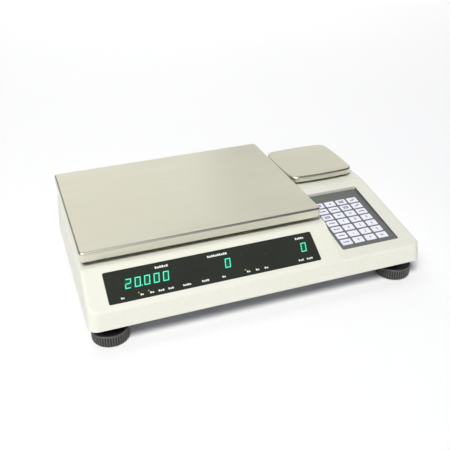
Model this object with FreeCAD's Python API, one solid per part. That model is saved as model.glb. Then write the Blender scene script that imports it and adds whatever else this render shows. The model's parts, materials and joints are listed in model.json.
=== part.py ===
import FreeCAD, Part
import math
import os

# Two-pan counting scale: a moulded cover on a steel base pan, a large steel platter on the
# left, a small sample platter at the back right, a three-field display in the front slope
# and a recessed keypad in the shallow slope beside it.
# Millimetres. Origin on the floor under the middle of the scale; +X right, +Y back, +Z up.

os.makedirs("parts", exist_ok=True)
V = FreeCAD.Vector
X_AXIS = V(1, 0, 0)
Z_AXIS = V(0, 0, 1)

# ---------------------------------------------------------------- driving dimensions
# Housing
HOUSING_W = 480.0          # width of the cover at its lower edge
HOUSING_FRONT = -157.0     # front face at the lower edge
HOUSING_BACK = 141.5       # back face at the lower edge
BASE_Z = 30.0              # lower edge of the housing above the floor
DECK_Z = 88.0              # flat deck under the main platter
SIDE_DECK_Z = 84.5         # flat deck under the sample platter
CREST_Y = -154.0           # edge between the front face and both slopes
CREST_Z = 55.5
DISPLAY_ANGLE = 30.5       # slope that holds the display window
KEYPAD_ANGLE = 9.8         # slope that holds the keypad
STEP_X = 111.0             # wall between the display hump and the keypad slope
SIDE_DRAFT = 4.0 / 58.0
FRONT_DRAFT = 3.0 / 25.5
BACK_DRAFT = 4.5 / 58.0
CORNER_R = 13.0
EDGE_R = 5.0
RIDGE_R = 9.0
WALL = 3.0
HOUSING_TALL = 120.0       # above every part of the housing
POST_R = 4.5               # screw posts inside the cover
PILOT_R, PILOT_TOP = 1.98, 44.0
COLUMN_CLEAR = 5.0         # air around the carrier columns where they pass the deck

# Base pan
PAN_T = 1.5
PAN_FLANGE_TOP = 40.0
PAN_GAP = 0.4
HEX_R, HEX_H = 9.0, 8.0    # nuts pressed into the pan for the feet
VENT_PITCH, VENT_HALF_W = 8.0, 1.5
VENT_Y0, VENT_Y1 = -60.0, -20.0

# Platters
PLATTER_X0, PLATTER_X1 = -234.0, 106.0
PLATTER_Y0, PLATTER_Y1 = -96.0, 157.0
PLATTER_TOP = 110.0
PLATTER_RIM = 13.0
PLATTER_CORNER_R = 6.0
PLATTER_EDGE_R = 3.0
SMALL_X0, SMALL_X1 = 116.0, 227.5
SMALL_Y0, SMALL_Y1 = 25.5, 138.0
SMALL_TOP = 98.5
SMALL_RIM = 8.5
SMALL_CORNER_R = 14.0
SMALL_BULGE = 2.5
SMALL_EDGE_R = 3.0
SHEET = 1.2

# Display window, measured in the display slope: X, and the distance up from the crest
WINDOW_X0, WINDOW_X1 = -209.7, 83.6
WINDOW_S0, WINDOW_S1 = 8.0, 54.0
WINDOW_T = 1.6
WINDOW_SUNK = 0.2
WINDOW_LEDGE = 4.0
TUBE_SPANS = ((-204.0, -118.0), (-112.0, -30.0), (-8.0, 80.0))

# Circuit boards under the two slopes: X, distance up the slope, then height of the lower face
BOARD_T = 1.6
BOARD_INSET = 3.2          # from a board's edge to the posts at its corners
DISPLAY_BOARD = (-217.0, 91.0, 8.0, 54.0)
DISPLAY_BOARD_N = -16.0
KEY_BOARD = (118.0, 218.0, 22.0, 146.0)
KEY_BOARD_N = -6.6
TUBE_T = 7.5
TUBE_LEGS = 12

# Keypad, measured the same way in its own plane, which sinks into the slope towards the back
KEYPAD_TILT = 1.8          # turned about the front row of keys
OVERLAY_X0, OVERLAY_X1 = 123.0, 213.0
OVERLAY_S0, OVERLAY_S1 = 20.0, 153.0
OVERLAY_T = 1.0
OVERLAY_SUNK = 1.0
OVERLAY_LEDGE = 3.5
KEY_ROWS, KEY_COLS = 7, 4
KEY_X0, KEY_PITCH_X = 136.7, 19.2
KEY_S0, KEY_PITCH_S = 35.0, 15.1
KEY_W, KEY_H = 16.0, 12.0
KEY_PROUD = 0.6
KEY_GAP = 0.3
TRAY_DEPTH = 4.9           # underside of the tray that the overlay lies in
TRAY_EDGE = 3.0

# Feet
FOOT_X = 211.0
FOOT_YS = (-131.5, 109.0)
FOOT_R = 24.5
FOOT_BOTTOM = 0.8
FOOT_TOP = 18.0
FOOT_RIBS = 44
GROOVE_R, GROOVE_DEPTH = 1.25, 1.0
HUB_R = 10.0               # plain hub between the ribbed knob and the base pan
SOLE_R = 19.0
SOLE_T = 4.0
STEM_R = 4.95
STEM_TOP = 46.0

# Weighing cells: length along X, centred under their platters
MAIN_CELL = (130.0, 30.0, 22.0)
SMALL_CELL = (90.0, 20.0, 18.0)
CELL_LIFT = 6.0            # spacer between the base pan and a cell
COLUMN_SPACER = 4.0        # spacer between a cell and its platter carrier
CUSHION_R, CUSHION_T = 7.0, 3.0
HEAD_H = 6.0               # cap screw heads
THREAD = 13.0              # how far the cap screws reach into a cell
M6_R, M6_HOLE_R, M6_HEAD_R = 2.95, 3.3, 5.0
M5_R, M5_HOLE_R, M5_HEAD_R = 2.45, 2.8, 4.2
STOP_R, STOP_NUT_R = 2.98, 5.8

# Main circuit board and transformer on the base pan
BOARD_X0, BOARD_X1, BOARD_Y0, BOARD_Y1 = 12.0, 112.0, -112.0, 52.0
BOARD_LIFT = 5.0
TRANSFORMER_X, TRANSFORMER_Y = -180.0, 45.0

# Level vial in the deck, seen with the main platter off
LEVEL_X, LEVEL_Y, LEVEL_R = -205.0, -72.0, 10.0

# Back panel fittings
INLET_X, INLET_Z = -130.0, 60.0
INLET_HALF_W, INLET_HALF_H = 13.4, 9.8
SWITCH_X = -84.0
SWITCH_HALF_W, SWITCH_HALF_H = 6.45, 9.5
ROCKER_TILT = 8.0
ROCKER_PIVOT = -2.0

# Far enough to pass right through the whole scale
FAR = 300.0

PLATTER_C = V((PLATTER_X0 + PLATTER_X1) / 2, (PLATTER_Y0 + PLATTER_Y1) / 2, 0)
SMALL_C = V((SMALL_X0 + SMALL_X1) / 2, (SMALL_Y0 + SMALL_Y1) / 2, 0)
FLOOR_Z = BASE_Z + PAN_T
BOARD_Z = FLOOR_Z + BOARD_LIFT
CELL_Z = FLOOR_Z + CELL_LIFT
MAIN_CELL_TOP = CELL_Z + MAIN_CELL[2]
SMALL_CELL_TOP = CELL_Z + SMALL_CELL[2]
MAIN_COLUMN = (-33.0, 1.0, 16.5, 44.5)
SMALL_COLUMN = (189.0, 217.0, SMALL_C.y - 10, SMALL_C.y + 10)
MAIN_PADS = [(PLATTER_C.x + sx * 140, PLATTER_C.y + sy * 98) for sx in (-1, 1) for sy in (-1, 1)]
SMALL_PADS = [(SMALL_C.x + sx * 34, SMALL_C.y + sy * 34) for sx in (-1, 1) for sy in (-1, 1)]
MAIN_PAD_Z = PLATTER_TOP - SHEET - CUSHION_T
SMALL_PAD_Z = SMALL_TOP - SHEET - CUSHION_T
MAIN_BOLTS_LOW = (PLATTER_C.x - 57.0, PLATTER_C.x - 39.0)
MAIN_BOLTS_HIGH = (PLATTER_C.x + 39.0, PLATTER_C.x + 57.0)
SMALL_BOLTS_LOW = (SMALL_C.x - 38.0, SMALL_C.x - 24.0)
SMALL_BOLTS_HIGH = (SMALL_C.x + 24.0, SMALL_C.x + 38.0)
STOP_PLACES = ((PLATTER_C.x + 48.0, PLATTER_C.y), (SMALL_C.x + 31.0, SMALL_C.y))
FOOT_PLACES = [(sx * FOOT_X, y) for y in FOOT_YS for sx in (-1, 1)]
SCREW_PLACES = [(-110, -145.5), (98, -145.5), (-60, 130), (60, 130)]
SCREW_PLACES += [(sx * 226, y) for sx in (-1, 1) for y in (-40, 50)]


# ---------------------------------------------------------------- helpers
def box(x0, x1, y0, y1, z0, z1):
    return Part.makeBox(x1 - x0, y1 - y0, z1 - z0, V(x0, y0, z0))


def rod(x, y, z0, z1, r):
    return Part.makeCylinder(r, z1 - z0, V(x, y, z0))


def rod_y(x, z, y0, y1, r):
    return Part.makeCylinder(r, y1 - y0, V(x, y0, z), V(0, 1, 0))


def hexagon(x, y, z0, z1, r):
    points = [V(x + r * math.cos(i * math.pi / 3), y + r * math.sin(i * math.pi / 3), z0)
              for i in range(7)]
    return Part.Face(Part.makePolygon(points)).extrude(V(0, 0, z1 - z0))


def fuse(shapes):
    """One solid from several overlapping ones."""
    return shapes[0].multiFuse(shapes[1:]).removeSplitter()


def cut(body, tools):
    return body.cut(Part.makeCompound(tools))


def rounded_rect(x0, x1, y0, y1, r, z):
    """Closed wire of a rectangle with round corners, in a level plane."""
    k = r * (1 - math.sqrt(0.5))
    corners = (
        (V(x1 - r, y0, z), V(x1 - k, y0 + k, z), V(x1, y0 + r, z)),
        (V(x1, y1 - r, z), V(x1 - k, y1 - k, z), V(x1 - r, y1, z)),
        (V(x0 + r, y1, z), V(x0 + k, y1 - k, z), V(x0, y1 - r, z)),
        (V(x0, y0 + r, z), V(x0 + k, y0 + k, z), V(x0 + r, y0, z)),
    )
    edges = []
    for i, (start, middle, end) in enumerate(corners):
        edges.append(Part.Arc(start, middle, end).toShape())
        edges.append(Part.LineSegment(end, corners[(i + 1) % 4][0]).toShape())
    return Part.Wire(edges)


def rounded_block(x0, x1, y0, y1, z0, z1, r):
    face = Part.Face(rounded_rect(x0, x1, y0, y1, r, z0))
    return face.extrude(V(0, 0, z1 - z0))


def round_top(shape, z, r):
    """Round the edges that lie at height z."""
    edges = [e for e in shape.Edges if abs(e.BoundBox.ZMin - z) < 1e-4]
    return shape.makeFillet(r, edges)


def on_slope(shape, angle):
    """Move a piece drawn as (x, distance up the slope, height above it) onto its slope."""
    placed = shape.copy()
    placed.rotate(V(0, 0, 0), X_AXIS, angle)
    placed.translate(V(0, CREST_Y, CREST_Z))
    return placed


def on_display(shape):
    return on_slope(shape, DISPLAY_ANGLE)


def on_keypad(shape):
    tilted = shape.copy()
    tilted.rotate(V(0, KEY_S0, 0), X_AXIS, -KEYPAD_TILT)
    return on_slope(tilted, KEYPAD_ANGLE)


def back_y(z):
    return HOUSING_BACK - (z - BASE_Z) * BACK_DRAFT


def on_back(shape, x):
    """Move a piece drawn as (x, outwards, up) onto the drafted back wall."""
    placed = shape.copy()
    placed.rotate(V(0, 0, 0), X_AXIS, math.degrees(math.atan(BACK_DRAFT)))
    placed.translate(V(x, back_y(INLET_Z), INLET_Z))
    return placed


def save(name, *solids):
    """Write one node; several solids stay separate in it."""
    shape = solids[0] if len(solids) == 1 else Part.makeCompound(list(solids))
    if not shape.isValid():
        print("INVALID", name)
    print("%-16s solids %2d  volume %10.0f" % (name, len(shape.Solids), shape.Volume))
    shape.exportStep("parts/%s.step" % name)


# ---------------------------------------------------------------- housing
def drafted_block(inset, z0, z1):
    """The housing's plan outline, drawn in towards the top by the moulding draft."""
    wires = []
    for z in (z0, z1):
        rise = z - BASE_Z
        half = HOUSING_W / 2 - rise * SIDE_DRAFT - inset
        front = HOUSING_FRONT + rise * FRONT_DRAFT + inset
        back = HOUSING_BACK - rise * BACK_DRAFT - inset
        wires.append(rounded_rect(-half, half, front, back, CORNER_R - inset, z))
    return Part.makeLoft(wires, True, True)


def slope_prism(angle, deck, inset):
    """Everything under one slope and the flat deck behind it, across the full width."""
    a = math.radians(angle)
    r = RIDGE_R - inset
    y_start = HOUSING_FRONT - 40.0

    def slope_z(y):
        return CREST_Z + (y - CREST_Y) * math.tan(a) - inset / math.cos(a)

    top = deck - inset
    ridge_y = CREST_Y + (top - slope_z(CREST_Y)) / math.tan(a)
    run = r * math.tan(a / 2)
    before = V(0, ridge_y - run * math.cos(a), top - run * math.sin(a))
    after = V(0, ridge_y + run, top)
    centre = after - V(0, 0, r)
    middle = centre + V(0, -r * math.sin(a / 2), r * math.cos(a / 2))
    ends = (V(0, FAR, top), V(0, FAR, 0), V(0, y_start, 0), V(0, y_start, slope_z(y_start)))
    points = (after,) + ends + (before,)
    edges = [Part.LineSegment(p, q).toShape() for p, q in zip(points, points[1:])]
    edges.append(Part.Arc(before, middle, after).toShape())
    face = Part.Face(Part.Wire(edges))
    face.translate(V(-FAR, 0, 0))
    return face.extrude(V(2 * FAR, 0, 0)), (before.y, after.y)


def rim_edges(shape, seams):
    """The closed run of edges around the top, without the two seams of the ridge."""
    picked = []
    for edge in shape.Edges:
        bounds = edge.BoundBox
        on_seam = bounds.XLength > HOUSING_W / 2 and any(abs(bounds.Center.y - y) < 0.1 for y in seams)
        if bounds.ZMin > BASE_Z + 0.5 and not on_seam:
            picked.append(edge)
    return picked


def housing_half(angle, deck):
    """Outer form with one slope, its top edge rounded all the way around."""
    prism, seams = slope_prism(angle, deck, 0)
    form = drafted_block(0, BASE_Z, HOUSING_TALL).common(prism)
    return form.makeFillet(EDGE_R, rim_edges(form, seams))


def housing_form():
    left = housing_half(DISPLAY_ANGLE, DECK_Z).common(box(-FAR, STEP_X, -FAR, FAR, 0, FAR))
    right = housing_half(KEYPAD_ANGLE, SIDE_DECK_Z).common(box(STEP_X, FAR, -FAR, FAR, 0, FAR))
    return fuse([left, right])


def housing_cavity():
    block = drafted_block(WALL, BASE_Z - 20, HOUSING_TALL)
    left = block.common(slope_prism(DISPLAY_ANGLE, DECK_Z, WALL)[0])
    right = block.common(slope_prism(KEYPAD_ANGLE, SIDE_DECK_Z, WALL)[0])
    left = left.common(box(-FAR, STEP_X - WALL, -FAR, FAR, 0, FAR))
    return left.fuse(right)


def board_bosses(board, board_n, place):
    """Posts under a slope that carry a circuit board at its four corners."""
    x0, x1, s0, s1 = board
    posts = []
    for x in (x0 + BOARD_INSET, x1 - BOARD_INSET):
        for s in (s0 + BOARD_INSET, s1 - BOARD_INSET):
            posts.append(place(rod(x, s, board_n + BOARD_T, 0.5 - WALL, 2.6)))
    return posts


def slope_recess(x0, x1, s0, s1, sunk, ledge, ledge_depth, place):
    """Pocket for a flush panel, and the smaller opening inside its ledge."""
    pocket = rounded_block(x0, x1, s0, s1, -sunk, 3 * WALL, 2.5)
    opening = rounded_block(x0 + ledge, x1 - ledge, s0 + ledge, s1 - ledge, -ledge_depth, WALL, 2)
    return [place(pocket), place(opening)]


def make_top_cover():
    form = housing_form()
    shell = form.cut(housing_cavity())
    posts = [rod(x, y, FLOOR_Z, HOUSING_TALL, POST_R) for x, y in SCREW_PLACES]
    posts = [post.common(form) for post in posts]
    posts += board_bosses(DISPLAY_BOARD, DISPLAY_BOARD_N, on_display)
    posts += board_bosses(KEY_BOARD, KEY_BOARD_N, on_keypad)
    tray = rounded_block(OVERLAY_X0 - TRAY_EDGE, OVERLAY_X1 + TRAY_EDGE, OVERLAY_S0 - TRAY_EDGE,
                         OVERLAY_S1 + TRAY_EDGE, -TRAY_DEPTH, 3 * WALL, 4)
    shell = fuse([shell, on_keypad(tray).common(form)] + posts)

    tools = slope_recess(WINDOW_X0, WINDOW_X1, WINDOW_S0, WINDOW_S1, WINDOW_SUNK + WINDOW_T,
                         WINDOW_LEDGE, 2 * WALL, on_display)
    tools += slope_recess(OVERLAY_X0, OVERLAY_X1, OVERLAY_S0, OVERLAY_S1,
                          OVERLAY_SUNK + OVERLAY_T, OVERLAY_LEDGE, TRAY_DEPTH + 1, on_keypad)
    for x0, x1, y0, y1 in (MAIN_COLUMN, SMALL_COLUMN):
        tools.append(rounded_block(x0 - COLUMN_CLEAR, x1 + COLUMN_CLEAR, y0 - COLUMN_CLEAR,
                                   y1 + COLUMN_CLEAR, SIDE_DECK_Z - 10, HOUSING_TALL, 4))
    tools.append(rod(LEVEL_X, LEVEL_Y, DECK_Z - 10, HOUSING_TALL, LEVEL_R + 0.1))
    for x, half_w, half_h in ((INLET_X, INLET_HALF_W + 0.2, INLET_HALF_H + 0.2),
                              (SWITCH_X, SWITCH_HALF_W + 0.1, SWITCH_HALF_H + 0.2)):
        tools.append(on_back(box(-half_w, half_w, -2 * WALL, WALL, -half_h, half_h), x))
    tools += [rod(x, y, BASE_Z, PILOT_TOP, PILOT_R) for x, y in SCREW_PLACES]
    return cut(shell, tools)


# ---------------------------------------------------------------- base pan
def make_base_pan():
    gap = WALL + PAN_GAP
    tray = drafted_block(gap, BASE_Z, PAN_FLANGE_TOP)
    tray = tray.cut(drafted_block(gap + PAN_T, FLOOR_Z, PAN_FLANGE_TOP + 5))
    posts = [hexagon(x, y, BASE_Z, FLOOR_Z + HEX_H, HEX_R) for x, y in FOOT_PLACES]
    for x in (BOARD_X0 + 5, BOARD_X1 - 5):
        for y in (BOARD_Y0 + 5, BOARD_Y1 - 5):
            posts.append(rod(x, y, BASE_Z, BOARD_Z, 3))
    tray = fuse([tray] + posts)
    holes = [(x, y, STEM_R + 0.1) for x, y in FOOT_PLACES]
    holes += [(x, y, 2.2) for x, y in SCREW_PLACES]
    holes += [(x, PLATTER_C.y, M6_HOLE_R) for x in MAIN_BOLTS_LOW]
    holes += [(x, SMALL_C.y, M5_HOLE_R) for x in SMALL_BOLTS_LOW]
    holes += [(x, y, STOP_R + 0.05) for x, y in STOP_PLACES]
    tools = [rod(x, y, 0, FAR, r) for x, y, r in holes]
    for i in range(8):
        x = TRANSFORMER_X + (i - 3.5) * VENT_PITCH
        tools.append(rounded_block(x - VENT_HALF_W, x + VENT_HALF_W, VENT_Y0, VENT_Y1, 0, FAR, 1.4))
    return cut(tray, tools)


# ---------------------------------------------------------------- platters
def make_main_platter():
    z0 = PLATTER_TOP - PLATTER_RIM
    outer = rounded_block(PLATTER_X0, PLATTER_X1, PLATTER_Y0, PLATTER_Y1, z0, PLATTER_TOP,
                          PLATTER_CORNER_R)
    outer = round_top(outer, PLATTER_TOP, PLATTER_EDGE_R)
    inner = rounded_block(PLATTER_X0 + SHEET, PLATTER_X1 - SHEET, PLATTER_Y0 + SHEET,
                          PLATTER_Y1 - SHEET, z0 - 1, PLATTER_TOP - SHEET,
                          PLATTER_CORNER_R - SHEET)
    inner = round_top(inner, PLATTER_TOP - SHEET, PLATTER_EDGE_R - SHEET)
    return outer.cut(inner)


def bulged_block(inset, z0, z1):
    """Plan outline of the sample platter: four gently bowed sides, large round corners."""
    x0, x1 = SMALL_X0 + SMALL_BULGE + inset, SMALL_X1 - SMALL_BULGE - inset
    y0, y1 = SMALL_Y0 + SMALL_BULGE + inset, SMALL_Y1 - SMALL_BULGE - inset
    cx, cy = SMALL_C.x, SMALL_C.y
    corners = [V(x0, y0, z0), V(x1, y0, z0), V(x1, y1, z0), V(x0, y1, z0)]
    bows = [V(cx, y0 - SMALL_BULGE, z0), V(x1 + SMALL_BULGE, cy, z0),
            V(cx, y1 + SMALL_BULGE, z0), V(x0 - SMALL_BULGE, cy, z0)]
    edges = [Part.Arc(corners[i], bows[i], corners[(i + 1) % 4]).toShape() for i in range(4)]
    block = Part.Face(Part.Wire(edges)).extrude(V(0, 0, z1 - z0))
    upright = [e for e in block.Edges if e.BoundBox.ZLength > 0.9 * (z1 - z0)]
    return block.makeFillet(SMALL_CORNER_R - inset, upright)


def make_small_platter():
    z0 = SMALL_TOP - SMALL_RIM
    outer = round_top(bulged_block(0, z0, SMALL_TOP), SMALL_TOP, SMALL_EDGE_R)
    inner = bulged_block(SHEET, z0 - 1, SMALL_TOP - SHEET)
    inner = round_top(inner, SMALL_TOP - SHEET, SMALL_EDGE_R - SHEET)
    return outer.cut(inner)


# ---------------------------------------------------------------- carriers and cells
def arm(centre, end, width, z0, z1):
    """A straight bar from the middle of a carrier to one of its pads."""
    dx, dy = end[0] - centre.x, end[1] - centre.y
    bar = box(0, math.hypot(dx, dy), -width / 2, width / 2, z0, z1)
    bar.rotate(V(0, 0, 0), Z_AXIS, math.degrees(math.atan2(dy, dx)))
    bar.translate(V(centre.x, centre.y, 0))
    return bar


def carrier(centre, pads, pad_r, width, z0, z_arm, z_top, hub, column, column_z):
    solids = [arm(centre, pad, width, z0, z_arm) for pad in pads]
    solids += [rod(x, y, z0, z_top, pad_r) for x, y in pads]
    solids.append(rounded_block(hub[0], hub[1], hub[2], hub[3], z0, z_top, 6))
    x0, x1, y0, y1 = column
    solids.append(rounded_block(x0, x1, y0, y1, column_z, z_top, 3))
    return fuse(solids)


def make_main_carrier():
    hub = (PLATTER_C.x - 62, PLATTER_C.x + 68, PLATTER_C.y - 32, PLATTER_C.y + 32)
    body = carrier(PLATTER_C, MAIN_PADS, 12, 22, DECK_Z + 9, DECK_Z + 15, MAIN_PAD_Z, hub,
                   MAIN_COLUMN, MAIN_CELL_TOP + COLUMN_SPACER)
    tools = [rod(x, PLATTER_C.y, 0, FAR, M6_HOLE_R) for x in MAIN_BOLTS_HIGH]
    tools += [rod(x, PLATTER_C.y, MAIN_PAD_Z - HEAD_H, FAR, M6_HEAD_R + 0.5)
              for x in MAIN_BOLTS_HIGH]
    return cut(body, tools)


def make_small_carrier():
    hub = (SMALL_C.x - 22, SMALL_COLUMN[1] + 1.5, SMALL_C.y - 16, SMALL_C.y + 16)
    body = carrier(SMALL_C, SMALL_PADS, 9, 14, SIDE_DECK_Z + 4.8, SIDE_DECK_Z + 8.8,
                   SMALL_PAD_Z, hub, SMALL_COLUMN, SMALL_CELL_TOP + COLUMN_SPACER)
    tools = [rod(x, SMALL_C.y, 0, FAR, M5_HOLE_R) for x in SMALL_BOLTS_HIGH]
    tools += [rod(x, SMALL_C.y, SMALL_PAD_Z - HEAD_H, FAR, M5_HEAD_R + 0.4)
              for x in SMALL_BOLTS_HIGH]
    return cut(body, tools)


def cushions():
    pieces = [rod(x, y, MAIN_PAD_Z, MAIN_PAD_Z + CUSHION_T, CUSHION_R) for x, y in MAIN_PADS]
    pieces += [rod(x, y, SMALL_PAD_Z, SMALL_PAD_Z + CUSHION_T, CUSHION_R) for x, y in SMALL_PADS]
    return pieces


def make_cell(centre, size, eye_r, eye_dx, bolts_low, bolts_high, bolt_r):
    """A bending-beam weighing cell: a bar thinned by two joined eyes."""
    length, width, height = size
    bar = box(centre.x - length / 2, centre.x + length / 2, centre.y - width / 2,
              centre.y + width / 2, CELL_Z, CELL_Z + height)
    mid = CELL_Z + height / 2
    y0, y1 = centre.y - width, centre.y + width
    tools = [rod_y(centre.x + sx * eye_dx, mid, y0, y1, eye_r) for sx in (-1, 1)]
    tools.append(box(centre.x - eye_dx, centre.x + eye_dx, y0, y1, mid - 3, mid + 3))
    tools += [rod(x, centre.y, 0, CELL_Z + THREAD + 1, bolt_r) for x in bolts_low]
    tools += [rod(x, centre.y, CELL_Z + height - THREAD - 1, FAR, bolt_r) for x in bolts_high]
    return cut(bar, tools)


def spacer(x0, x1, centre, half, z0, z1, holes, hole_r):
    plate = box(x0, x1, centre.y - half, centre.y + half, z0, z1)
    return cut(plate, [rod(x, centre.y, z0 - 1, z1 + 1, hole_r) for x in holes])


def spacers():
    main_x0 = PLATTER_C.x - MAIN_CELL[0] / 2
    small_x0 = SMALL_C.x - SMALL_CELL[0] / 2
    return [
        spacer(main_x0, main_x0 + 36, PLATTER_C, 15, FLOOR_Z, CELL_Z, MAIN_BOLTS_LOW, M6_HOLE_R),
        spacer(MAIN_COLUMN[0], MAIN_COLUMN[1], PLATTER_C, 14, MAIN_CELL_TOP,
               MAIN_CELL_TOP + COLUMN_SPACER, MAIN_BOLTS_HIGH, M6_HOLE_R),
        spacer(small_x0, small_x0 + 28, SMALL_C, 10, FLOOR_Z, CELL_Z, SMALL_BOLTS_LOW, M5_HOLE_R),
        spacer(SMALL_COLUMN[0], SMALL_COLUMN[1], SMALL_C, 10, SMALL_CELL_TOP,
               SMALL_CELL_TOP + COLUMN_SPACER, SMALL_BOLTS_HIGH, M5_HOLE_R),
    ]


def bolt_up(x, y, r, head_r):
    """Cap screw through the base pan from below, its head under the pan."""
    head = rod(x, y, BASE_Z - 5, BASE_Z, head_r).cut(rod(x, y, BASE_Z - 6, BASE_Z - 2.5, r * 0.8))
    return fuse([head, rod(x, y, BASE_Z, CELL_Z + THREAD, r)])


def bolt_down(x, y, r, head_r, head_z, end_z):
    """Cap screw down through a carrier's column, its head sunk in the carrier."""
    head = rod(x, y, head_z, head_z + HEAD_H - 0.4, head_r)
    head = head.cut(rod(x, y, head_z + 2.5, head_z + HEAD_H, r * 0.8))
    return fuse([head, rod(x, y, end_z, head_z, r)])


def cell_bolts():
    bolts = [bolt_up(x, PLATTER_C.y, M6_R, M6_HEAD_R) for x in MAIN_BOLTS_LOW]
    bolts += [bolt_up(x, SMALL_C.y, M5_R, M5_HEAD_R) for x in SMALL_BOLTS_LOW]
    bolts += [bolt_down(x, PLATTER_C.y, M6_R, M6_HEAD_R, MAIN_PAD_Z - HEAD_H,
                        MAIN_CELL_TOP - THREAD) for x in MAIN_BOLTS_HIGH]
    bolts += [bolt_down(x, SMALL_C.y, M5_R, M5_HEAD_R, SMALL_PAD_Z - HEAD_H,
                        SMALL_CELL_TOP - THREAD) for x in SMALL_BOLTS_HIGH]
    return bolts


def overload_stops():
    """Set screws in the base pan, just short of the free end of each cell, with lock nuts."""
    pieces = []
    for x, y in STOP_PLACES:
        pieces.append(rod(x, y, BASE_Z - 4, CELL_Z - 0.5, STOP_R))
        nut = hexagon(x, y, FLOOR_Z, FLOOR_Z + 3.5, STOP_NUT_R)
        pieces.append(nut.cut(rod(x, y, 0, FAR, STOP_R + 0.02)))
    return pieces


# ---------------------------------------------------------------- display
def make_display_window():
    pane = rounded_block(WINDOW_X0 + 0.2, WINDOW_X1 - 0.2, WINDOW_S0 + 0.2, WINDOW_S1 - 0.2,
                       -WINDOW_SUNK - WINDOW_T, -WINDOW_SUNK, 2.3)
    return on_display(pane)


def make_display_board():
    x0, x1, s0, s1 = DISPLAY_BOARD
    board = rounded_block(x0, x1, s0, s1, DISPLAY_BOARD_N, DISPLAY_BOARD_N + BOARD_T, 1.5)
    parts = [board]
    for i in range(6):
        x = x0 + 30 + i * 45
        parts.append(box(x, x + 16, s0 + 16, s0 + 26, DISPLAY_BOARD_N - 3, DISPLAY_BOARD_N + 0.2))
    return on_display(fuse(parts))


def display_tubes():
    """Three sealed display tubes on short legs, each with its evacuation tip at one end."""
    z0 = DISPLAY_BOARD_N + BOARD_T + 1.5
    s0, s1 = WINDOW_S0 + 9, WINDOW_S1 - 9
    tubes = []
    for x0, x1 in TUBE_SPANS:
        glass = rounded_block(x0, x1, s0, s1, z0, z0 + TUBE_T, 1.0)
        tip = Part.makeCylinder(2, 4, V(x1 - 1, (s0 + s1) / 2, z0 + TUBE_T / 2), X_AXIS)
        pitch = (x1 - x0 - 14) / (TUBE_LEGS - 1)
        leg = box(x0 + 6, x0 + 7.2, s0 + 0.2, s0 + 1.0, z0 - 1.5, z0 + 0.5)
        legs = [leg.translated(V(i * pitch, 0, 0)) for i in range(TUBE_LEGS)]
        tubes.append(on_display(fuse([glass, tip] + legs)))
    return tubes


# ---------------------------------------------------------------- keypad
def key_places():
    """Row 1 is the one furthest back, column 1 the one on the left."""
    for row in range(KEY_ROWS):
        for col in range(KEY_COLS):
            x = KEY_X0 + col * KEY_PITCH_X
            s = KEY_S0 + (KEY_ROWS - 1 - row) * KEY_PITCH_S
            yield "key_r%dc%d" % (row + 1, col + 1), x, s


def make_keypad_overlay():
    top = -OVERLAY_SUNK
    plate = rounded_block(OVERLAY_X0 + 0.2, OVERLAY_X1 - 0.2, OVERLAY_S0 + 0.2,
                        OVERLAY_S1 - 0.2, top - OVERLAY_T, top, 2.3)
    w, h = KEY_W / 2 + KEY_GAP, KEY_H / 2 + KEY_GAP
    holes = [rounded_block(x - w, x + w, s - h, s + h, top - 3, top + 2, 1.3)
             for _, x, s in key_places()]
    return on_keypad(cut(plate, holes))


def make_key(x, s):
    """Key cap with a keeping flange under the overlay and a short plunger."""
    top = -OVERLAY_SUNK + KEY_PROUD
    flange_top = -OVERLAY_SUNK - OVERLAY_T - 0.2
    w, h = KEY_W / 2, KEY_H / 2
    cap = rounded_block(x - w, x + w, s - h, s + h, flange_top - 0.4, top, 1.1)
    cap = round_top(cap, top, 0.35)
    flange = rounded_block(x - w - 0.8, x + w + 0.8, s - h - 0.7, s + h + 0.7,
                         flange_top - 0.8, flange_top, 1.2)
    plunger = rod(x, s, flange_top - 1.4, flange_top - 0.4, 1.6)
    return on_keypad(fuse([cap, flange, plunger]))


def make_keypad_board():
    x0, x1, s0, s1 = KEY_BOARD
    parts = [rounded_block(x0, x1, s0, s1, KEY_BOARD_N, KEY_BOARD_N + BOARD_T, 1.5)]
    parts += [rod(x, s, KEY_BOARD_N + 1, KEY_BOARD_N + BOARD_T + 0.8, 3.2)
              for _, x, s in key_places()]
    return on_keypad(fuse(parts))


# ---------------------------------------------------------------- electronics
def make_main_board():
    x0, x1, y0, y1 = BOARD_X0, BOARD_X1, BOARD_Y0, BOARD_Y1
    top = BOARD_Z + BOARD_T
    chips = (
        (x0 + 22, x0 + 58, y0 + 30, y0 + 44, 4.0),
        (x0 + 22, x0 + 58, y0 + 56, y0 + 70, 4.0),
        (x0 + 66, x0 + 90, y0 + 60, y0 + 84, 3.0),
        (x0 + 8, x0 + 62, y1 - 22, y1 - 14, 9.0),
        (x0 + 70, x0 + 92, y1 - 44, y1 - 27.5, 3.0),
    )
    parts = [box(x0, x1, y0, y1, BOARD_Z, top)]
    parts += [box(cx0, cx1, cy0, cy1, top - 0.1, top + h) for cx0, cx1, cy0, cy1, h in chips]
    parts += [rod(x0 + 20 + i * 16, y1 - 38, top - 0.1, top + 13, 5.5) for i in range(3)]
    fin = box(x0 + 70, x0 + 92, y1 - 44, y1 - 42.5, top + 2, top + 14)
    parts += [fin.translated(V(0, i * 5, 0)) for i in range(4)]
    return fuse(parts)


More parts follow.
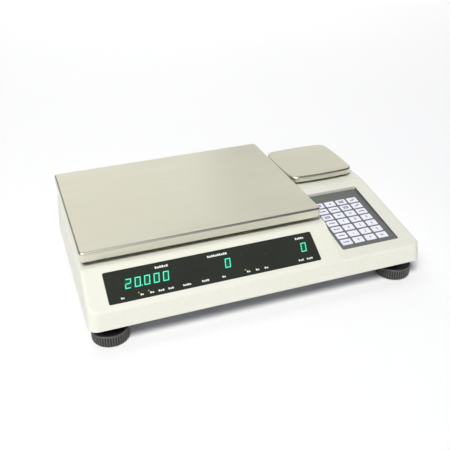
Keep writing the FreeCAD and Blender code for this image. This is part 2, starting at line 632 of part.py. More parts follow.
def make_transformer():
    x, y = TRANSFORMER_X, TRANSFORMER_Y
    z0 = FLOOR_Z + 8
    core = box(x - 11, x + 11, y - 33, y + 33, z0, z0 + 40)
    coil = rounded_block(x - 22, x + 22, y - 20, y + 20, z0 + 6, z0 + 34, 5)
    frame = fuse([box(x - 13, x + 13, y - 42, y + 42, FLOOR_Z, FLOOR_Z + 2),
                  box(x - 11, x + 11, y - 35, y - 33, FLOOR_Z, z0 + 42),
                  box(x - 11, x + 11, y + 33, y + 35, FLOOR_Z, z0 + 42),
                  box(x - 11, x + 11, y - 35, y + 35, z0 + 40, z0 + 42)])
    return [fuse([core, coil]), frame]


# ---------------------------------------------------------------- back panel fittings
def make_power_inlet():
    """Three-pin appliance inlet: flange outside, socket running in through the wall."""
    flange = rounded_block(-25, 25, -13, 13, 0, 2.6, 6)
    flange.rotate(V(0, 0, 0), X_AXIS, 90)
    flange.translate(V(0, 2.6, 0))
    shell = fuse([flange, box(-INLET_HALF_W, INLET_HALF_W, -24, 1, -INLET_HALF_H, INLET_HALF_H)])
    socket = box(-12, 12, -15.5, 5, -8, 8)
    corners = [e for e in socket.Edges if e.BoundBox.YLength > 20 and e.BoundBox.ZMin > 0]
    tools = [socket.makeChamfer(4, corners)]
    tools += [Part.makeCylinder(1.7, 20, V(sx * 20, -5, 0), V(0, 1, 0)) for sx in (-1, 1)]
    shell = cut(shell, tools)
    pins = [box(-8, -6, -26, -2, -4, 0), box(6, 8, -26, -2, -4, 0), box(-1, 1, -26, 0, 0, 4)]
    return on_back(fuse([shell] + pins), INLET_X)


def make_switch_body():
    bezel = box(-7.6, 7.6, 0, 1.6, -10.8, 10.8)
    bezel = bezel.makeFillet(1.2, [e for e in bezel.Edges if e.BoundBox.YLength > 1])
    body = fuse([bezel, box(-SWITCH_HALF_W, SWITCH_HALF_W, -15, 1, -SWITCH_HALF_H, SWITCH_HALF_H)])
    tools = [box(-5.7, 5.7, -10.8, 5, -8.9, 8.9)]
    tools.append(Part.makeCylinder(1.26, 12.4, V(-6.2, ROCKER_PIVOT, 0), X_AXIS))
    body = cut(body, tools)
    tabs = [box(-2.4, 2.4, -22, -14.5, z - 0.4, z + 0.4) for z in (-5, 5)]
    return on_back(fuse([body] + tabs), SWITCH_X)


def make_power_rocker():
    """Two-way rocker with its upper half pressed in."""
    end = 8.6
    rise = end * math.tan(math.radians(ROCKER_TILT))
    outline = [V(0, 0.9 + rise, -end), V(0, 0.9, 0), V(0, 0.9 + rise, end), V(0, -3, end),
               V(0, -7.5, 4), V(0, -7.5, -4), V(0, -3, -end), V(0, 0.9 + rise, -end)]
    block = Part.Face(Part.makePolygon(outline)).extrude(V(10.8, 0, 0))
    block.translate(V(-5.4, 0, 0))
    sweep = Part.makeCylinder(8.6, 10.8, V(-5.4, ROCKER_PIVOT, 0), X_AXIS)
    pin = Part.makeCylinder(1.2, 12, V(-6, ROCKER_PIVOT, 0), X_AXIS)
    rocker = fuse([block.common(sweep), pin])
    rocker.rotate(V(0, ROCKER_PIVOT, 0), X_AXIS, ROCKER_TILT)
    return on_back(rocker, SWITCH_X)


def make_level_vial():
    body = rod(LEVEL_X, LEVEL_Y, DECK_Z - 9, DECK_Z + 0.5, LEVEL_R)
    lip = rod(LEVEL_X, LEVEL_Y, DECK_Z, DECK_Z + 1.5, LEVEL_R + 2.5)
    dish = rod(LEVEL_X, LEVEL_Y, DECK_Z + 0.7, DECK_Z + 3, LEVEL_R - 2)
    return fuse([body, lip]).cut(dish)


def cover_screws():
    screws = []
    for x, y in SCREW_PLACES:
        head = Part.makeCone(3.2, 4.0, 2.6, V(x, y, BASE_Z - 2.6))
        slot = fuse([box(x - 2.2, x + 2.2, y - 0.5, y + 0.5, 0, BASE_Z - 1.4),
                     box(x - 0.5, x + 0.5, y - 2.2, y + 2.2, 0, BASE_Z - 1.4)])
        shank = rod(x, y, BASE_Z - 0.5, PILOT_TOP - 2, PILOT_R - 0.03)
        screws.append(fuse([head.cut(slot), shank]))
    return screws


# ---------------------------------------------------------------- feet
def foot_knob():
    """Ribbed levelling knob with its hub and threaded stem, drawn at the origin."""
    barrel = rod(0, 0, FOOT_BOTTOM, FOOT_TOP, FOOT_R)
    low = [e for e in barrel.Edges if abs(e.BoundBox.ZMax - FOOT_BOTTOM) < 1e-4]
    barrel = round_top(barrel.makeFillet(2.5, low), FOOT_TOP, 1.8)
    groove = rod(FOOT_R + GROOVE_R - GROOVE_DEPTH, 0, 0, FOOT_TOP - 2.4, GROOVE_R)
    tools = [rod(0, 0, 0, SOLE_T + 0.05, SOLE_R + 0.4)]
    for i in range(FOOT_RIBS):
        turned = groove.copy()
        turned.rotate(V(0, 0, 0), Z_AXIS, i * 360 / FOOT_RIBS)
        tools.append(turned)
    hub = rod(0, 0, FOOT_TOP - 1, BASE_Z - 0.1, HUB_R)
    stem = rod(0, 0, FOOT_TOP, STEM_TOP, STEM_R)
    tip = [e for e in stem.Edges if abs(e.BoundBox.ZMin - STEM_TOP) < 1e-4]
    return cut(fuse([barrel, hub, stem.makeChamfer(1, tip)]), tools)


def foot_sole():
    """Rubber disc in the recess under a knob."""
    disc = Part.makeCylinder(SOLE_R, SOLE_T)
    lower = [e for e in disc.Edges if e.BoundBox.ZMax < 1e-4]
    return disc.makeFillet(0.8, lower)


# ---------------------------------------------------------------- build every node
save("top_cover", make_top_cover())
save("base_pan", make_base_pan())
save("main_platter", make_main_platter())
save("small_platter", make_small_platter())
save("main_carrier", make_main_carrier())
save("small_carrier", make_small_carrier())
save("platter_cushions", *cushions())
save("main_load_cell", make_cell(PLATTER_C, MAIN_CELL, 8.5, 14, MAIN_BOLTS_LOW,
                                 MAIN_BOLTS_HIGH, 3.0))
save("small_load_cell", make_cell(SMALL_C, SMALL_CELL, 6.8, 10, SMALL_BOLTS_LOW,
                                  SMALL_BOLTS_HIGH, 2.5))
save("cell_spacers", *spacers())
save("load_cell_bolts", *cell_bolts())
save("overload_stops", *overload_stops())
save("display_window", make_display_window())
save("display_board", make_display_board())
save("display_tubes", *display_tubes())
save("keypad_overlay", make_keypad_overlay())
save("keypad_board", make_keypad_board())
save("main_board", make_main_board())
save("transformer", *make_transformer())
save("power_inlet", make_power_inlet())
save("switch_body", make_switch_body())
save("power_rocker", make_power_rocker())
save("cover_screws", *cover_screws())
save("level_vial", make_level_vial())
knob, sole = foot_knob(), foot_sole()
for label, (foot_x, foot_y) in zip(("front_left", "front_right", "rear_left", "rear_right"),
                                   FOOT_PLACES):
    save("foot_knob_" + label, knob.translated(V(foot_x, foot_y, 0)))
    save("foot_pad_" + label, sole.translated(V(foot_x, foot_y, 0)))
for key_name, key_x, key_s in key_places():
    save(key_name, make_key(key_x, key_s))
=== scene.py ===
import json
import math

import bpy
from mathutils import Matrix, Vector


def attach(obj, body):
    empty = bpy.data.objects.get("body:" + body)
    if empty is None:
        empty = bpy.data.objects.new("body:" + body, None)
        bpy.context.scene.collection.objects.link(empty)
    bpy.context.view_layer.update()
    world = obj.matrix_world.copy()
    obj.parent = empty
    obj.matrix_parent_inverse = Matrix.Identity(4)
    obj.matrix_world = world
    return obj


# Visual model of a two-pan counting scale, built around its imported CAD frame. Metres.

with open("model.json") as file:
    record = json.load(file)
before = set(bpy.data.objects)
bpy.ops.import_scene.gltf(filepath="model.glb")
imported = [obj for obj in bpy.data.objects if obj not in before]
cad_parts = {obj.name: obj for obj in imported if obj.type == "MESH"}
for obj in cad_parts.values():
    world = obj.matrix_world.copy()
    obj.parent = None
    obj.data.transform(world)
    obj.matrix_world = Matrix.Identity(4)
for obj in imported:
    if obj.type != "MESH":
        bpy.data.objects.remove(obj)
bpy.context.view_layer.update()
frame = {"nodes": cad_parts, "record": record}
nodes = frame["nodes"]
MM = 0.001


# ---------------------------------------------------------------- shader helpers
def srgb(r, g, b):
    """Display colour 0-255 to linear RGBA."""
    def linear(c):
        c /= 255
        return c / 12.92 if c <= 0.04045 else ((c + 0.055) / 1.055) ** 2.4
    return (linear(r), linear(g), linear(b), 1.0)


class Shader:
    """A Principled material with a few procedural layers in object space."""

    def __init__(self, name, colour, roughness, metallic=0.0, specular=0.5):
        self.mat = bpy.data.materials.new(name)
        self.mat.use_nodes = True
        self.tree = self.mat.node_tree
        self.bsdf = self.tree.nodes["Principled BSDF"]
        self.colour = colour
        self.set("Base Color", colour)
        self.set("Roughness", roughness)
        self.set("Metallic", metallic)
        self.set("Specular IOR Level", specular)
        self.coords = None
        self.height = None

    def set(self, socket, value):
        self.bsdf.inputs[socket].default_value = value
        return self

    def node(self, kind, **values):
        made = self.tree.nodes.new(kind)
        for key, value in values.items():
            setattr(made, key, value)
        return made

    def link(self, source, target):
        self.tree.links.new(source, target)

    def place(self, stretch=(1, 1, 1)):
        """Object coordinates, stretched by a factor on each axis."""
        if self.coords is None:
            self.coords = self.node("ShaderNodeTexCoord")
        mapping = self.node("ShaderNodeMapping")
        mapping.inputs["Scale"].default_value = stretch
        self.link(self.coords.outputs["Object"], mapping.inputs["Vector"])
        return mapping.outputs["Vector"]

    def noise(self, per_metre, detail=3.0, stretch=(1, 1, 1), rough=0.5):
        made = self.node("ShaderNodeTexNoise")
        made.inputs["Scale"].default_value = per_metre
        made.inputs["Detail"].default_value = detail
        made.inputs["Roughness"].default_value = rough
        self.link(self.place(stretch), made.inputs["Vector"])
        return made.outputs["Fac"]

    def remap(self, value, low, high, start=0.3, end=0.7):
        made = self.node("ShaderNodeMapRange")
        made.inputs["From Min"].default_value = start
        made.inputs["From Max"].default_value = end
        made.inputs["To Min"].default_value = low
        made.inputs["To Max"].default_value = high
        self.link(value, made.inputs["Value"])
        return made.outputs["Result"]

    def vary_colour(self, pattern, other, amount=1.0, start=0.3, end=0.7):
        """Mix towards another colour where the pattern is high."""
        mix = self.node("ShaderNodeMix", data_type="RGBA")
        source = self.bsdf.inputs["Base Color"]
        if source.is_linked:
            self.link(source.links[0].from_socket, mix.inputs["A"])
        else:
            mix.inputs["A"].default_value = self.colour
        mix.inputs["B"].default_value = other
        self.link(self.remap(pattern, 0.0, amount, start, end), mix.inputs["Factor"])
        self.link(mix.outputs["Result"], source)
        return self

    def vary_roughness(self, pattern, low, high):
        self.link(self.remap(pattern, low, high), self.bsdf.inputs["Roughness"])
        return self

    def bump(self, pattern, depth, strength=1.0):
        """Add relief; depth is in metres."""
        made = self.node("ShaderNodeBump")
        made.inputs["Distance"].default_value = depth
        made.inputs["Strength"].default_value = strength
        self.link(pattern, made.inputs["Height"])
        if self.height is not None:
            self.link(self.height, made.inputs["Normal"])
        self.height = made.outputs["Normal"]
        self.link(self.height, self.bsdf.inputs["Normal"])
        return self


# ---------------------------------------------------------------- materials
def housing_plastic():
    s = Shader("housing_plastic", srgb(229, 229, 216), 0.42, specular=0.45)
    s.vary_colour(s.noise(9, 2), srgb(224, 223, 208), 0.55)
    s.vary_colour(s.noise(160, 4), srgb(234, 235, 224), 0.35)
    s.vary_roughness(s.noise(45, 3), 0.36, 0.5)
    s.bump(s.noise(1500, 2), 0.00004, 0.55)
    s.bump(s.noise(420, 3), 0.00005, 0.25)
    return s.mat


def brushed_steel(name, colour, roughness, stretch):
    s = Shader(name, colour, roughness, metallic=1.0)
    s.vary_colour(s.noise(1, 4, stretch), tuple(c * 0.86 for c in colour[:3]) + (1,), 0.6)
    s.vary_colour(s.noise(7, 2), tuple(min(1, c * 1.05) for c in colour[:3]) + (1,), 0.5)
    s.vary_roughness(s.noise(1, 5, stretch, 0.65), roughness - 0.06, roughness + 0.09)
    s.bump(s.noise(1, 4, stretch, 0.7), 0.00002, 0.35)
    return s.mat


def moulded(name, colour, roughness=0.5, grain=900, depth=0.00003, other=None):
    s = Shader(name, colour, roughness, specular=0.4)
    darker = other or tuple(c * 0.8 for c in colour[:3]) + (1,)
    s.vary_colour(s.noise(60, 3), darker, 0.45)
    s.vary_roughness(s.noise(150, 3), roughness - 0.07, roughness + 0.07)
    s.bump(s.noise(grain, 2), depth, 0.6)
    return s.mat


# The feet stand at (+-FOOT_X, FOOT_Y_MID +- FOOT_Y_HALF), and their ribs lie between two radii
FOOT_X = 0.211
FOOT_Y_MID = -0.01125
FOOT_Y_HALF = 0.12025
GROOVE_RADIUS = 0.0234
RIB_RADIUS = 0.0245


def foot_plastic_painted_rib_light():
    """Black moulding with painted light: the rib crests are painted lighter as a highlight,
    while the grooves and the top keep the dark colour as painted shade.
    """
    s = Shader("foot_black", srgb(25, 26, 30), 0.5, specular=0.4)
    vector = s.place()
    for operation, value in (("SUBTRACT", (0, FOOT_Y_MID, 0)), ("ABSOLUTE", None),
                             ("SUBTRACT", (FOOT_X, FOOT_Y_HALF, 0)), ("MULTIPLY", (1, 1, 0))):
        step = s.node("ShaderNodeVectorMath", operation=operation)
        s.link(vector, step.inputs[0])
        if value is not None:
            step.inputs[1].default_value = value
        vector = step.outputs["Vector"]
    radius = s.node("ShaderNodeVectorMath", operation="LENGTH")
    s.link(vector, radius.inputs[0])
    # Painted highlight: lighter from the groove radius out to the rib radius; the grooves and
    # the flat top inside stay dark as painted shade.
    s.vary_colour(radius.outputs["Value"], srgb(88, 88, 83), 1.0, GROOVE_RADIUS, RIB_RADIUS)
    s.vary_roughness(s.noise(150, 3), 0.43, 0.57)
    s.bump(s.noise(600, 2), 0.00004, 0.6)
    return s.mat


def smoked_acrylic():
    s = Shader("smoked_acrylic", srgb(50, 52, 47), 0.2, specular=0.22)
    s.vary_colour(s.noise(25, 3), srgb(45, 47, 42), 0.6)
    s.vary_roughness(s.noise(90, 4), 0.16, 0.28)
    s.bump(s.noise(40, 1), 0.00002, 0.1)
    return s.mat


def cast_metal(name, colour, roughness=0.45, metallic=1.0):
    s = Shader(name, colour, roughness, metallic)
    s.vary_colour(s.noise(70, 4), tuple(c * 0.82 for c in colour[:3]) + (1,), 0.6)
    s.vary_roughness(s.noise(200, 3), roughness - 0.1, roughness + 0.12)
    s.bump(s.noise(800, 3), 0.00006, 0.5)
    return s.mat


def rubber(name, colour):
    s = Shader(name, colour, 0.75, specular=0.3)
    s.vary_colour(s.noise(90, 4), tuple(c * 1.7 for c in colour[:3]) + (1,), 0.4)
    s.vary_roughness(s.noise(300, 3), 0.65, 0.85)
    s.bump(s.noise(1800, 3), 0.00005, 0.6)
    return s.mat


def circuit_board():
    s = Shader("circuit_board", srgb(32, 92, 58), 0.4)
    s.vary_colour(s.noise(1, 1, (420, 25, 420)), srgb(50, 122, 80), 0.8)
    s.vary_colour(s.noise(1, 1, (25, 420, 420)), srgb(24, 74, 46), 0.7)
    s.bump(s.noise(1, 1, (420, 25, 420)), 0.00004, 0.4)
    return s.mat


def clear(name, colour, transmission, roughness=0.05):
    s = Shader(name, colour, roughness)
    s.set("Transmission Weight", transmission)
    s.set("IOR", 1.49)
    s.vary_colour(s.noise(60, 2), tuple(c * 0.9 for c in colour[:3]) + (1,), 0.5)
    s.bump(s.noise(120, 1), 0.00002, 0.1)
    return s.mat


def glowing(name, colour, strength):
    s = Shader(name, colour, 0.5, specular=0.1)
    s.set("Emission Color", colour)
    s.set("Emission Strength", strength)
    s.vary_colour(s.noise(900, 2), tuple(c * 0.85 for c in colour[:3]) + (1,), 0.5)
    return s.mat


def printed(name, colour):
    s = Shader(name, colour, 0.55, specular=0.2)
    s.vary_colour(s.noise(1500, 2), tuple(c * 0.8 for c in colour[:3]) + (1,), 0.4)
    return s.mat


MATERIALS = {
    "housing": housing_plastic(),
    "platter_steel": brushed_steel("platter_steel", srgb(226, 224, 204), 0.34, (6, 900, 900)),
    "zinc_sheet": cast_metal("zinc_sheet", srgb(190, 193, 196), 0.42),
    "cast_alloy": cast_metal("cast_alloy", srgb(178, 180, 182), 0.5),
    "cell_alloy": cast_metal("cell_alloy", srgb(205, 206, 210), 0.3),
    "rubber_black": rubber("rubber_black", srgb(34, 34, 33)),
    "fastener_steel": cast_metal("fastener_steel", srgb(198, 198, 196), 0.3),
    "window_smoked": smoked_acrylic(),
    "window_edge": moulded("window_edge", srgb(22, 24, 22), 0.5),
    "board_green": circuit_board(),
    "tube_glass": clear("tube_glass", srgb(150, 170, 168), 0.6),
    "overlay_grey": moulded("overlay_grey", srgb(108, 110, 107), 0.5, 700),
    "key_white": moulded("key_white", srgb(240, 241, 250), 0.42, 1200, 0.00002,
                         srgb(232, 233, 246)),
    "core_steel": cast_metal("core_steel", srgb(112, 96, 80), 0.5, 0.6),
    "black_plastic": moulded("black_plastic", srgb(38, 38, 38), 0.5),
    "rocker_black": moulded("rocker_black", srgb(30, 30, 31), 0.3),
    "vial_clear": clear("vial_clear", srgb(214, 228, 150), 0.7),
    "foot_black": foot_plastic_painted_rib_light(),
    "display_light": glowing("display_light", srgb(92, 214, 172), 0.62),
    # Painted glow that spreads around the lit figures
    "display_painted_glow": glowing("display_painted_glow", srgb(26, 78, 64), 0.16),
    "caption_print": printed("caption_print", srgb(236, 238, 230)),
    "key_legend": printed("key_legend", srgb(66, 68, 96)),
    "legend_blue": printed("legend_blue", srgb(74, 74, 160)),
    "numeral_grey": printed("numeral_grey", srgb(86, 88, 106)),
    "marker_green": printed("marker_green", srgb(98, 138, 100)),
    "edge_shade": moulded("edge_shade", srgb(84, 82, 88), 0.6),
    "recess_shade": moulded("recess_shade", srgb(122, 118, 124), 0.6),
    "marker_lit": glowing("marker_lit", srgb(150, 190, 60), 0.35),
}


def dress_cad_nodes():
    """Every CAD node keeps its mesh and takes the procedural material of its slot."""
    for part in frame["record"]["subparts"]:
        node = nodes[part["node"]]
        for material_slot in node.material_slots:
            material_slot.material = MATERIALS[part["material_slot"]]


# ---------------------------------------------------------------- surfaces taken from the frame
class Face:
    """The flat top of a sloping CAD node: x across, s up the slope, h above the surface."""

    def __init__(self, node):
        mesh = nodes[node].data
        areas = {}
        for polygon in mesh.polygons:
            key = tuple(round(c, 3) for c in polygon.normal)
            if key[2] > 0.3:
                areas.setdefault(key, [0.0, polygon.normal.copy()])[0] += polygon.area
        self.normal = max(areas.values(), key=lambda item: item[0])[1].normalized()
        self.up = self.normal.cross(Vector((1, 0, 0))).normalized()
        self.level = max(self.normal.dot(v.co) for v in mesh.vertices)
        top = [v.co for v in mesh.vertices if self.normal.dot(v.co) > self.level - 0.02 * MM]
        self.s0 = min(self.up.dot(p) for p in top)
        self.s1 = max(self.up.dot(p) for p in top)
        self.x0 = min(p.x for p in top)
        self.x1 = max(p.x for p in top)

    def matrix(self, x, s, h=0.0):
        """Placement whose X is +X, Y runs up the slope and Z is the outward normal."""
        across = Vector((1, 0, 0))
        spot = across * x + self.up * (self.s0 + s) + self.normal * (self.level + h)
        turned = Matrix((across, self.up, self.normal)).transposed().to_4x4()
        return Matrix.Translation(spot) @ turned


# ---------------------------------------------------------------- thin printed and lit pieces
def slab_mesh(name, outlines, thickness):
    """Closed thin slabs, one for each outline of (x, y) points given counter-clockwise."""
    vertices = []
    faces = []
    for outline in outlines:
        n = len(outline)
        base = len(vertices)
        vertices += [(x, y, 0.0) for x, y in outline]
        vertices += [(x, y, thickness) for x, y in outline]
        faces.append([base + n + i for i in range(n)])
        faces.append([base + n - 1 - i for i in range(n)])
        for i in range(n):
            j = (i + 1) % n
            faces.append([base + i, base + j, base + n + j, base + n + i])
    mesh = bpy.data.meshes.new(name)
    mesh.from_pydata(vertices, [], faces)
    mesh.update()
    return mesh


def add_piece(name, mesh, body, material, matrix):
    piece = bpy.data.objects.new(name, mesh)
    bpy.context.scene.collection.objects.link(piece)
    mesh.transform(matrix)
    mesh.materials.append(MATERIALS[material])
    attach(piece, body)
    return piece


def bar(x, y, w, h):
    return [(x - w / 2, y - h / 2), (x + w / 2, y - h / 2),
            (x + w / 2, y + h / 2), (x - w / 2, y + h / 2)]


def word_bars(x, y, width, height, blocks):
    """A stand-in for a printed word: a row of plain bars, no letters."""
    step = width / blocks
    bars = []
    for i in range(blocks):
        tall = height if i % 3 != 1 else height * 0.75
        bars.append(bar(x - width / 2 + step * (i + 0.5), y - (height - tall) / 2,
                        step * 0.78, tall))
    return bars


def disc(radius, sides=18):
    return [(radius * math.cos(2 * math.pi * i / sides),
             radius * math.sin(2 * math.pi * i / sides)) for i in range(sides)]


def triangle(x, y, size):
    """A triangle that points up the slope."""
    return [(x + size * math.cos(math.radians(90 + i * 120)),
             y + size * math.sin(math.radians(90 + i * 120))) for i in range(3)]


# ---------------------------------------------------------------- display
DIGIT_W = 7.7 * MM
DIGIT_H = 13.4 * MM
DIGIT_STROKE = 1.2 * MM
DIGIT_GAP = 0.12 * MM
DIGIT_SLANT = 0.2
DIGIT_S = 17.5 * MM
DIGIT_PITCH = 12.45 * MM
PRINT_T = 0.05 * MM
LIFT = 0.01 * MM           # prints stand this far off their surface
SEGMENTS = {"0": "abcdef", "2": "abged"}


def segment(letter):
    """Outline of one segment with mitred ends; the digit's lower left corner is the origin."""
    w, h, t, g = DIGIT_W, DIGIT_H, DIGIT_STROKE, DIGIT_GAP
    half = h / 2
    shapes = {
        "a": [(g + t, h - t), (w - t - g, h - t), (w - g, h), (g, h)],
        "d": [(g, 0), (w - g, 0), (w - t - g, t), (g + t, t)],
        "g": [(g + t, half - t / 2), (w - t - g, half - t / 2),
              (w - t - g, half + t / 2), (g + t, half + t / 2)],
        "b": [(w - t, half + g), (w, half + g), (w, h - g), (w - t, h - t - g)],
        "c": [(w - t, t + g), (w, g), (w, half - g), (w - t, half - g)],
        "e": [(0, g), (t, t + g), (t, half - g), (0, half - g)],
        "f": [(0, half + g), (t, half + g), (t, h - t - g), (0, h - g)],
    }
    return shapes[letter]


def slanted(outline):
    return [(x + y * DIGIT_SLANT, y) for x, y in outline]


def lit_number(name, text, right_x, face):
    """Seven-segment figures that end at right_x, over a faint painted glow of the same colour
    around each figure.
    """
    strokes = []
    painted_glow = []
    x = right_x - DIGIT_W - DIGIT_PITCH * (len(text.replace(".", "")) - 1)
    for mark in text:
        if mark == ".":
            spot = bar(x - DIGIT_PITCH + DIGIT_W + 1.6 * MM, 0.8 * MM, 1.5 * MM, 1.5 * MM)
            strokes.append(slanted(spot))
            continue
        shifted = [[(px + x, py) for px, py in segment(k)] for k in SEGMENTS[mark]]
        strokes += [slanted(outline) for outline in shifted]
        # Painted glow: a faintly glowing box a millimetre wider than the figure on each side.
        painted_glow.append(slanted([(x - 1.0 * MM, -1.0 * MM), (x + DIGIT_W + 1.0 * MM, -1.0 * MM),
                             (x + DIGIT_W + 1.0 * MM, DIGIT_H + 1.0 * MM),
                             (x - 1.0 * MM, DIGIT_H + 1.0 * MM)]))
        x += DIGIT_PITCH
    add_piece(name + "_painted_glow", slab_mesh(name + "_painted_glow", painted_glow, PRINT_T), "root",
              "display_painted_glow", face.matrix(0, DIGIT_S, LIFT))
    add_piece(name, slab_mesh(name, strokes, PRINT_T), "root",
              "display_light", face.matrix(0, DIGIT_S, LIFT + PRINT_T))


def caption(name, x, s, width, height, blocks, face):
    add_piece(name, slab_mesh(name, word_bars(0, 0, width, height, blocks), PRINT_T), "root",
              "caption_print", face.matrix(x, s, LIFT))


# x of the middle and width of each small mark along the lower edge; True where its arrow is lit
LOWER_MARKS = (
    (-191.5, 4.6, False), (-166.6, 4.4, True), (-153.6, 5.6, True), (-141.3, 8.0, False),
    (-128.6, 7.4, False), (-107.1, 11.0, False), (-82.0, 10.0, False), (-56.5, 5.0, False),
    (-21.9, 5.0, True), (-9.1, 5.0, False), (3.6, 5.6, False), (55.0, 8.0, False),
    (67.7, 9.0, False),
)


def edge_frame(width):
    """Four bars along the edges of the window, inside its outline."""
    face = Face("display_window")
    span = face.x1 - face.x0
    rise = face.s1 - face.s0
    outlines = [bar(0, (width - rise) / 2, span - 4 * MM, width),
                bar(0, (rise - width) / 2, span - 4 * MM, width),
                bar((width - span) / 2, 0, width, rise - 4 * MM),
                bar((span - width) / 2, 0, width, rise - 4 * MM)]
    add_piece("window_edge", slab_mesh("window_edge", outlines, PRINT_T), "root",
              "window_edge",
              face.matrix((face.x0 + face.x1) / 2, rise / 2, LIFT))


def build_display():
    face = Face("display_window")
    edge_frame(0.8 * MM)
    lit_number("weight_figures", "20.000", -128.0 * MM, face)
    lit_number("unit_figures", "0", -43.0 * MM, face)
    lit_number("total_figures", "0", 67.9 * MM, face)
    for i, (x, width, blocks) in enumerate(((-133.2, 18.0, 6), (-56.5, 28.0, 10),
                                            (64.0, 13.0, 5))):
        caption("caption_%d" % (i + 1), x * MM, 38.7 * MM, width * MM, 3.1 * MM, blocks, face)
    arrows = []
    for i, (x, width, lit) in enumerate(LOWER_MARKS):
        blocks = max(2, round(width / 2.4))
        caption("mark_%02d" % (i + 1), x * MM, 5.9 * MM, width * MM, 2.6 * MM, blocks, face)
        if lit:
            arrows.append(triangle((x - 3.6) * MM, 0, 1.3 * MM))
    add_piece("lit_arrows", slab_mesh("lit_arrows", arrows, PRINT_T), "root",
              "marker_lit", face.matrix(0, 9.0 * MM, LIFT))


# ---------------------------------------------------------------- keypad legends
LEGEND_T = 0.04 * MM
GREEN_X = 148.0 * MM
GREEN_S = 122.5 * MM
WALL_FRONT = 0.4 * MM      # how far the recess wall stands above the overlay
WALL_BACK = 4.4 * MM


def figure_mesh(name, text, height):
    """A numeral as a thin closed mesh, centred on its origin."""
    curve = bpy.data.curves.new(name, "FONT")
    curve.body = text
    curve.size = height * 1.38
    curve.extrude = LEGEND_T / 2
    curve.resolution_u = 3
    curve.align_x = "CENTER"
    holder = bpy.data.objects.new(name, curve)
    bpy.context.scene.collection.objects.link(holder)
    depsgraph = bpy.context.evaluated_depsgraph_get()
    mesh = bpy.data.meshes.new_from_object(holder.evaluated_get(depsgraph))
    bpy.data.objects.remove(holder)
    bpy.data.curves.remove(curve)
    mid = (min(v.co.y for v in mesh.vertices) + max(v.co.y for v in mesh.vertices)) / 2
    mesh.transform(Matrix.Translation((0, -mid, LEGEND_T / 2)))
    mesh.materials.clear()
    return mesh


def symbol_outlines(kind):
    """Plain marks for the function keys, in metres around the key's middle."""
    symbols = {
        "word": word_bars(0, 0, 10.0 * MM, 2.3 * MM, 5),
        "pair": word_bars(-2.7 * MM, 0, 4.8 * MM, 2.4 * MM, 2)
                + word_bars(2.7 * MM, 0, 4.8 * MM, 2.4 * MM, 2),
        "lines": word_bars(0, 1.5 * MM, 8.4 * MM, 2.3 * MM, 4)
                 + word_bars(0, -1.5 * MM, 8.4 * MM, 2.3 * MM, 3),
        "dot": [disc(1.5 * MM)],
        "point": [disc(1.2 * MM)],
        "short": word_bars(0, 0, 5.2 * MM, 2.2 * MM, 2),
        "step": word_bars(-1.6 * MM, -1.1 * MM, 5.2 * MM, 2.0 * MM, 2)
                + word_bars(2.2 * MM, 1.1 * MM, 5.2 * MM, 2.0 * MM, 2),
    }
    return symbols[kind]


# One line per row, back to front: a numeral, or a mark's name, with * where it is blue
KEY_LEGENDS = (
    ("lines*", "dot", "lines*", "step"),
    ("word", "word", "lines*", "step*"),
    ("lines*", "short", "short", "word"),
    ("word", "7", "8", "9"),
    ("pair", "4", "5", "6"),
    ("word", "1", "2", "3"),
    ("word*", "0", "point", "short"),
)


def build_legends():
    for row, legends in enumerate(KEY_LEGENDS):
        for col, legend in enumerate(legends):
            key = "key_r%dc%d" % (row + 1, col + 1)
            face = Face(key)
            name = "legend_r%dc%d" % (row + 1, col + 1)
            mark = legend.rstrip("*")
            ink = "legend_blue" if legend.endswith("*") else "key_legend"
            if mark.isdigit():
                mesh = figure_mesh(name, mark, 5.0 * MM)
                ink = "numeral_grey"
            else:
                mesh = slab_mesh(name, symbol_outlines(mark), LEGEND_T)
            middle = face.matrix((face.x0 + face.x1) / 2, (face.s1 - face.s0) / 2, LIFT)
            add_piece(name, mesh, key, ink, middle)


def build_overlay_print():
    """A plain green mark at the back, and the shaded edge and wall on the overlay's right."""
    face = Face("keypad_overlay")
    length = face.s1 - face.s0
    outlines = word_bars(0, 1.6 * MM, 16 * MM, 2.4 * MM, 5)
    outlines.append(bar(0, -1.6 * MM, 16 * MM, 1.6 * MM))
    add_piece("overlay_band", slab_mesh("overlay_band", outlines, PRINT_T), "root",
              "marker_green",
              face.matrix(GREEN_X, GREEN_S, LIFT))
    shade = bar(face.x1 - 0.9 * MM, length / 2, 1.6 * MM, length - 3 * MM)
    add_piece("overlay_shade", slab_mesh("overlay_shade", [shade], PRINT_T), "root",
              "edge_shade", face.matrix(0, 0, LIFT))
    x = face.x1 + 0.05 * MM
    lengthwise = Matrix((face.up, face.normal, Vector((1, 0, 0)))).transposed().to_4x4()
    start = Vector((1, 0, 0)) * x + face.up * face.s0 + face.normal * face.level
    wall = [(1.5 * MM, -0.9 * MM), (length - 1.5 * MM, -0.9 * MM),
            (length - 1.5 * MM, WALL_BACK), (1.5 * MM, WALL_FRONT)]
    add_piece("overlay_edge", slab_mesh("overlay_edge", [wall], 0.1 * MM), "root",
              "recess_shade", Matrix.Translation(start) @ lengthwise)


# ---------------------------------------------------------------- stage, light and camera
FLOOR_SIZE = 44
BACKDROP_RADIUS = 21
BACKDROP_HEIGHT = 6
WORLD_COLOUR = (0.3, 0.4, 1.0, 1.0)
WORLD_STRENGTH = 0.06
CAMERA_LENS = 52.62
CAMERA_PLACE = (-0.287869, -0.819141, 0.550673)
CAMERA_FORWARD = (0.28329604, 0.82011269, -0.49715041)
CAMERA_UP = (0.1802698, 0.46360939, 0.86750742)


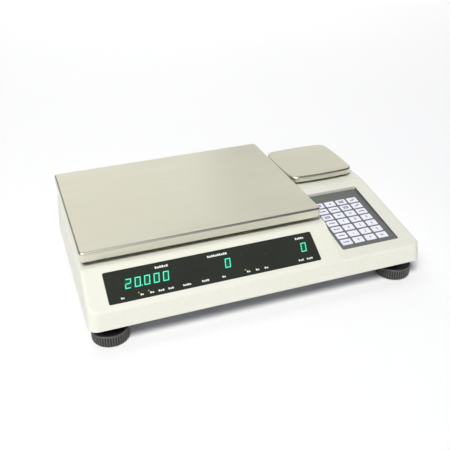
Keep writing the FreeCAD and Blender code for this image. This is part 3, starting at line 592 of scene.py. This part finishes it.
def build_stage():
    """A pale floor, and far around it a faintly glowing pale wall that hides the horizon."""
    bpy.ops.mesh.primitive_plane_add(size=FLOOR_SIZE)
    floor = bpy.context.object
    floor.name = "studio_floor"
    s = Shader("studio_floor", srgb(254, 254, 254), 0.75, specular=0.15)
    s.vary_colour(s.noise(3, 2), srgb(252, 252, 251), 0.5)
    floor.data.materials.append(s.mat)
    bpy.ops.mesh.primitive_cylinder_add(vertices=96, radius=BACKDROP_RADIUS,
                                        depth=BACKDROP_HEIGHT, end_fill_type="NOTHING",
                                        location=(0, 0, BACKDROP_HEIGHT / 2))
    wall = bpy.context.object
    wall.name = "studio_wall"
    s = Shader("studio_wall", srgb(10, 10, 10), 1.0, specular=0.0)
    s.set("Emission Color", srgb(250, 251, 255))
    s.set("Emission Strength", 0.4)
    s.vary_colour(s.noise(0.3, 2), srgb(14, 14, 14), 0.5)
    wall.data.materials.append(s.mat)


def aim(lamp, place, target):
    lamp.location = place
    lamp.rotation_euler = (Vector(target) - Vector(place)).to_track_quat("-Z", "Y").to_euler()
    bpy.context.scene.collection.objects.link(lamp)


def area_light(name, place, target, size, power, colour):
    data = bpy.data.lights.new(name, "AREA")
    data.shape = "RECTANGLE"
    data.size, data.size_y = size
    data.energy = power
    data.color = colour
    aim(bpy.data.objects.new(name, data), place, target)


def sun_light(name, azimuth, elevation, spread, power, colour):
    """Azimuth is measured from the front, positive to the right; angles in degrees."""
    data = bpy.data.lights.new(name, "SUN")
    data.energy = power
    data.angle = math.radians(spread)
    data.color = colour
    flat = math.cos(math.radians(elevation))
    place = (flat * math.sin(math.radians(azimuth)), -flat * math.cos(math.radians(azimuth)),
             math.sin(math.radians(elevation)))
    aim(bpy.data.objects.new(name, data), place, (0, 0, 0))


def build_light():
    world = bpy.data.worlds.new("studio")
    world.use_nodes = True
    background = world.node_tree.nodes["Background"]
    background.inputs["Color"].default_value = WORLD_COLOUR
    background.inputs["Strength"].default_value = WORLD_STRENGTH
    bpy.context.scene.world = world
    sun_light("key", -33, 54, 22, 2.5, (1.0, 0.998, 0.975))
    area_light("key_near", (-0.62, -0.8, 1.25), (0, 0, 0.05), (0.5, 0.5), 5.5,
               (1.0, 0.998, 0.975))
    area_light("card_top", (-0.45, 0.75, 2.1), (0, 0, 0.11), (1.5, 1.0), 4.6, (1.0, 0.995, 0.98))
    area_light("card_back_left", (0.1, 2.6, 1.5), (0, 0, 0.11), (1.7, 1.9), 10.8,
               (1.0, 0.99, 0.955))
    area_light("card_back_right", (1.7, 2.2, 1.45), (0, 0, 0.11), (1.6, 1.9), 8.8,
               (1.0, 0.985, 0.945))
    bpy.context.scene.view_settings.view_transform = "Standard"
    bpy.context.scene.view_settings.look = "None"


def build_camera():
    """Stands to the left of the scale's middle, about 30 degrees above it."""
    data = bpy.data.cameras.new("camera")
    data.sensor_width = 36.0
    data.lens = CAMERA_LENS
    camera = bpy.data.objects.new("camera", data)
    forward = Vector(CAMERA_FORWARD).normalized()
    up = Vector(CAMERA_UP).normalized()
    right = forward.cross(up).normalized()
    turned = Matrix((right, up, -forward)).transposed().to_4x4()
    camera.matrix_world = Matrix.Translation(CAMERA_PLACE) @ turned
    bpy.context.scene.collection.objects.link(camera)
    bpy.context.scene.camera = camera


build_camera()
dress_cad_nodes()
build_display()
build_legends()
build_overlay_print()
build_stage()
build_light()
